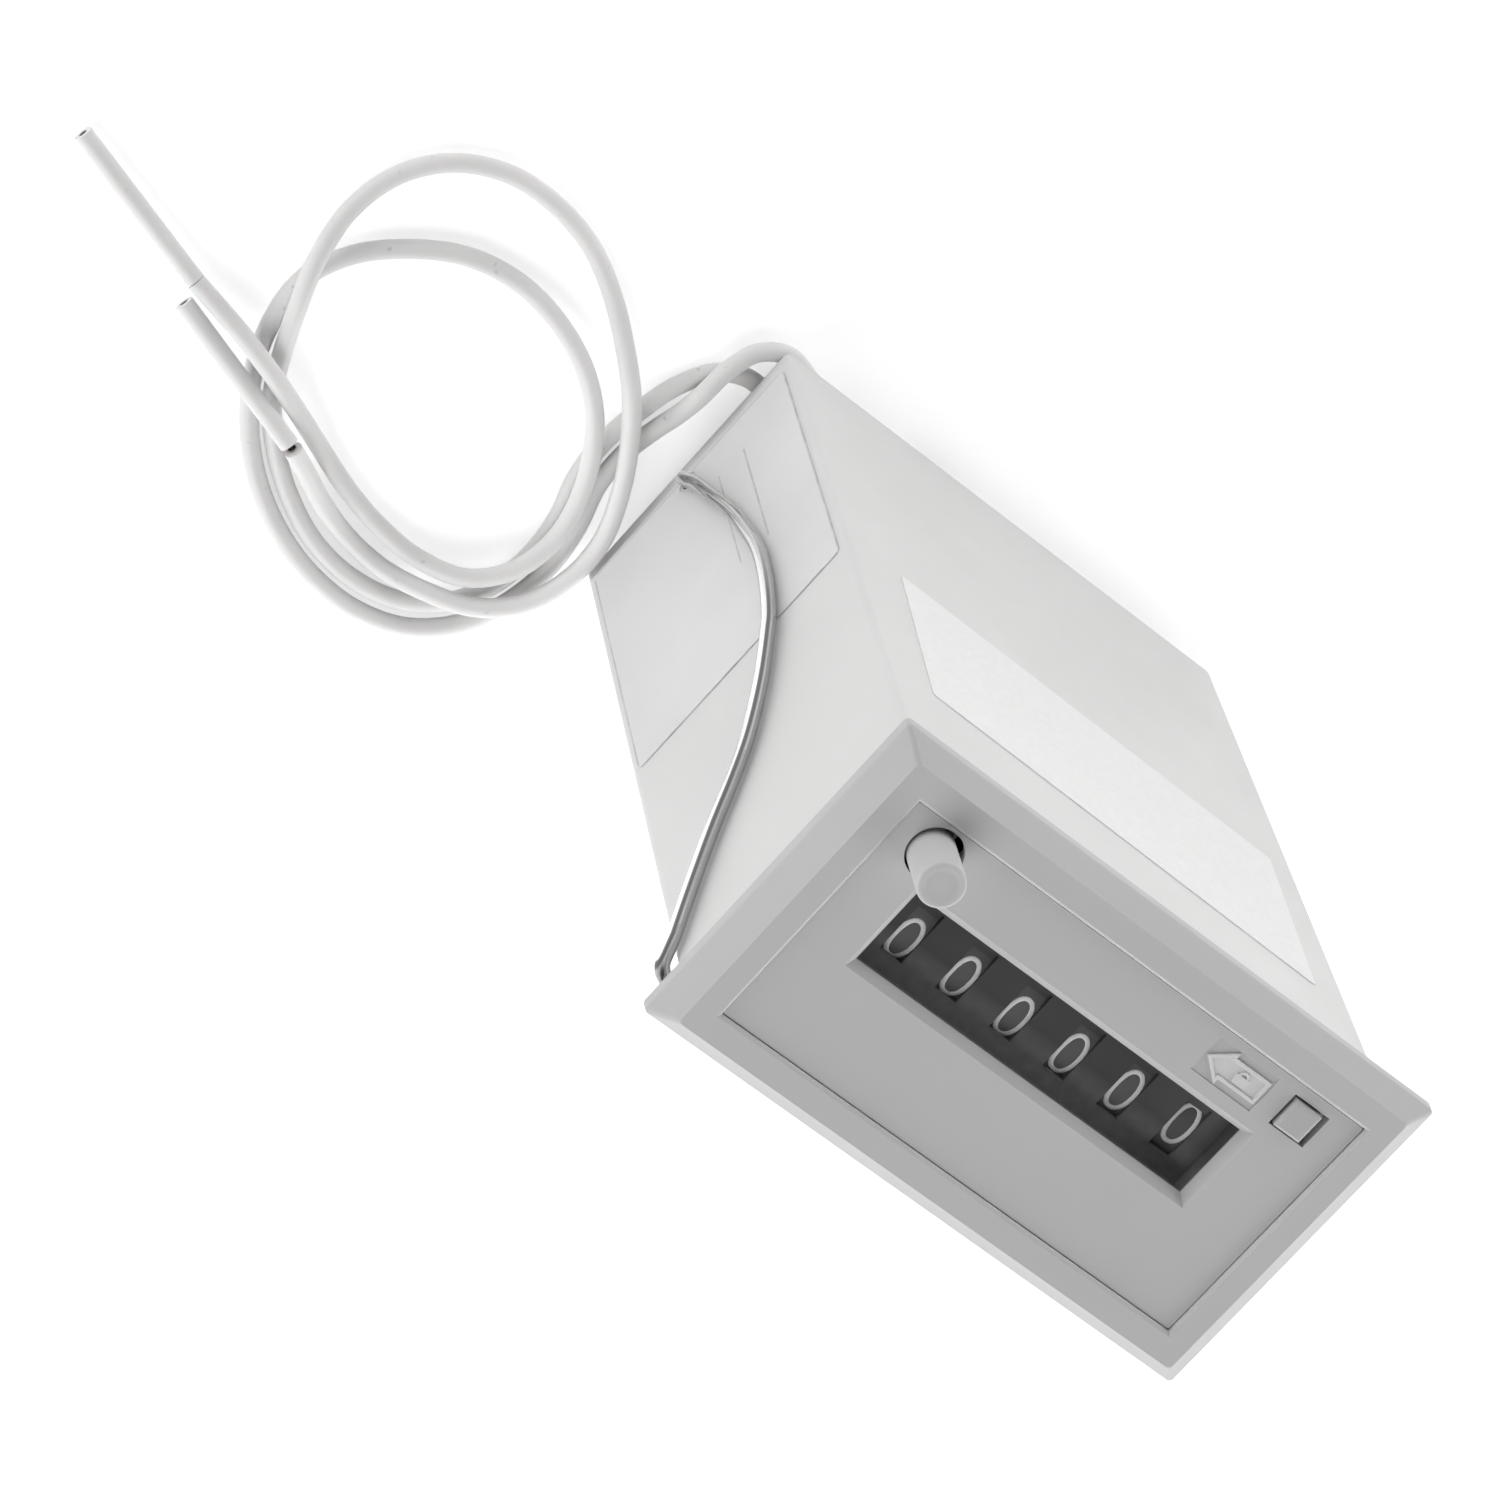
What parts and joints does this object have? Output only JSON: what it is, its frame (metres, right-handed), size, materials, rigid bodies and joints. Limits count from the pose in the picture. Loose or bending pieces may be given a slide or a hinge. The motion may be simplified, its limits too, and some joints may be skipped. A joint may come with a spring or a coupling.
{
  "type": "pulse counter",
  "caption": "Panel-mounted electromagnetic pulse counter: long narrow case behind a chamfered bezel, number wheels in a window, reset button, lock slider, wire mounting bail and two leads.",
  "frame": {"origin": "on the floor under the middle of the case, which stands on its rear rim", "axes": "+X along the row of digits as they read, +Y up the digits, +Z out of the front panel"},
  "size_m": [0.1296, 0.0518, 0.1011],
  "materials": {
    "ivory_plastic": "moulded, slightly satin",
    "grey_plastic": "moulded, matt",
    "white_plastic": "moulded, smooth",
    "black_plastic": "moulded, matt, with pale printed digits",
    "nylon": "moulded, natural",
    "plated_steel": "zinc plated sheet and wire",
    "bright_steel": "bright drawn wire and rod",
    "soft_iron": "soft iron, plated, satin",
    "brass": "turned pins",
    "enamelled_copper": "enamelled winding",
    "paper_label": "white label, unprinted",
    "film_label": "thin film with ruled lines",
    "insulation": "soft white insulation",
    "tinned_copper": "tinned strand"
  },
  "bodies": {
    "housing": {"case_sleeve": "ivory_plastic", "bezel": "grey_plastic", "face_panel": "grey_plastic", "window_mask": "black_plastic", "reset_spring": "bright_steel", "chassis": "plated_steel", "wheel_shaft": "bright_steel", "pinion_shaft": "bright_steel", "left_spacer": "nylon", "right_spacer": "nylon", "magnet_yoke": "soft_iron", "hinge_pin": "bright_steel", "magnet_core": "soft_iron", "coil_terminal_1": "brass", "coil_terminal_2": "brass", "coil_bobbin": "nylon", "coil_winding": "enamelled_copper", "return_spring": "bright_steel", "cover_screw_1": "plated_steel", "cover_screw_2": "plated_steel", "rear_cover": "ivory_plastic", "lead_clamp": "nylon", "coil_tail_1": "insulation", "coil_tail_2": "insulation", "lead_wire_1": "insulation", "lead_slug_1": "insulation", "lead_core_1": "tinned_copper", "lead_wire_2": "insulation", "lead_slug_2": "insulation", "lead_core_2": "tinned_copper", "side_label": "film_label", "top_label": "paper_label"},
    "lock": {"lock_slider": "white_plastic"},
    "button": {"reset_button": "white_plastic"},
    "comb": {"reset_comb": "plated_steel"},
    "armature_set": {"armature": "soft_iron", "pallet_lever": "nylon"},
    "bail": {"mounting_bail": "bright_steel"},
    "hundred_thousands": {"hundred_thousands_wheel": "black_plastic"},
    "ten_thousands": {"ten_thousands_wheel": "black_plastic"},
    "thousands": {"thousands_wheel": "black_plastic"},
    "hundreds": {"hundreds_wheel": "black_plastic"},
    "tens": {"tens_wheel": "black_plastic"},
    "units": {"units_wheel": "black_plastic", "ratchet_wheel": "nylon"},
    "pinion_1": {"transfer_pinion_1": "nylon"},
    "pinion_2": {"transfer_pinion_2": "nylon"},
    "pinion_3": {"transfer_pinion_3": "nylon"},
    "pinion_4": {"transfer_pinion_4": "nylon"},
    "pinion_5": {"transfer_pinion_5": "nylon"}
  },
  "joints": [
    {"name": "bail_swing", "type": "hinge", "parent": "housing", "child": "bail", "pos_m": [0, -0.0003, 0.0065], "axis": [1, 0, 0], "range_deg": [0, 75]},
    {"name": "lock_slide", "type": "slide", "parent": "housing", "child": "lock", "axis": [1, 0, 0], "range_m": [-0.0003, 0.0006]},
    {"name": "button_press", "type": "slide", "parent": "housing", "child": "button", "axis": [0, 0, -1], "range_m": [0, 0.003], "stiffness_N_per_m": 400, "springref_m": -0.002, "deforming": ["reset_spring"]},
    {"name": "comb_turn", "type": "hinge", "parent": "housing", "child": "comb", "pos_m": [0, -0.0106, 0.0685], "axis": [-1, 0, 0], "range_deg": [0, 8.6]},
    {"name": "armature_swing", "type": "hinge", "parent": "housing", "child": "armature_set", "pos_m": [0, 0.0105, 0.04795], "axis": [1, 0, 0], "range_deg": [0, 3.4], "stiffness_Nm_per_rad": 0.03, "springref_deg": -6.88},
    {"name": "units_turn", "type": "hinge", "parent": "housing", "child": "units", "pos_m": [0, 0.0016, 0.0807], "axis": [1, 0, 0], "continuous": true},
    {"name": "hundred_thousands_turn", "type": "hinge", "parent": "housing", "child": "hundred_thousands", "pos_m": [0, 0.0016, 0.0807], "axis": [1, 0, 0], "continuous": true},
    {"name": "ten_thousands_turn", "type": "hinge", "parent": "housing", "child": "ten_thousands", "pos_m": [0, 0.0016, 0.0807], "axis": [1, 0, 0], "continuous": true},
    {"name": "thousands_turn", "type": "hinge", "parent": "housing", "child": "thousands", "pos_m": [0, 0.0016, 0.0807], "axis": [1, 0, 0], "continuous": true},
    {"name": "hundreds_turn", "type": "hinge", "parent": "housing", "child": "hundreds", "pos_m": [0, 0.0016, 0.0807], "axis": [1, 0, 0], "continuous": true},
    {"name": "tens_turn", "type": "hinge", "parent": "housing", "child": "tens", "pos_m": [0, 0.0016, 0.0807], "axis": [1, 0, 0], "continuous": true},
    {"name": "pinion_1_turn", "type": "hinge", "parent": "housing", "child": "pinion_1", "pos_m": [0, 0.0016, 0.0688], "axis": [1, 0, 0], "continuous": true},
    {"name": "pinion_2_turn", "type": "hinge", "parent": "housing", "child": "pinion_2", "pos_m": [0, 0.0016, 0.0688], "axis": [1, 0, 0], "continuous": true},
    {"name": "pinion_3_turn", "type": "hinge", "parent": "housing", "child": "pinion_3", "pos_m": [0, 0.0016, 0.0688], "axis": [1, 0, 0], "continuous": true},
    {"name": "pinion_4_turn", "type": "hinge", "parent": "housing", "child": "pinion_4", "pos_m": [0, 0.0016, 0.0688], "axis": [1, 0, 0], "continuous": true},
    {"name": "pinion_5_turn", "type": "hinge", "parent": "housing", "child": "pinion_5", "pos_m": [0, 0.0016, 0.0688], "axis": [1, 0, 0], "continuous": true}
  ],
  "couplings": [
    {"joint": "comb_turn", "follows": "button_press", "rad_per_m": 48.8},
    {"joint": "hundred_thousands_turn", "follows": "units_turn", "ratio": 0.00001},
    {"joint": "ten_thousands_turn", "follows": "units_turn", "ratio": 0.0001},
    {"joint": "thousands_turn", "follows": "units_turn", "ratio": 0.001},
    {"joint": "hundreds_turn", "follows": "units_turn", "ratio": 0.01},
    {"joint": "tens_turn", "follows": "units_turn", "ratio": 0.1},
    {"joint": "pinion_1_turn", "follows": "units_turn", "ratio": -0.000025},
    {"joint": "pinion_2_turn", "follows": "units_turn", "ratio": -0.00025},
    {"joint": "pinion_3_turn", "follows": "units_turn", "ratio": -0.0025},
    {"joint": "pinion_4_turn", "follows": "units_turn", "ratio": -0.025},
    {"joint": "pinion_5_turn", "follows": "units_turn", "ratio": -0.25}
  ]
}
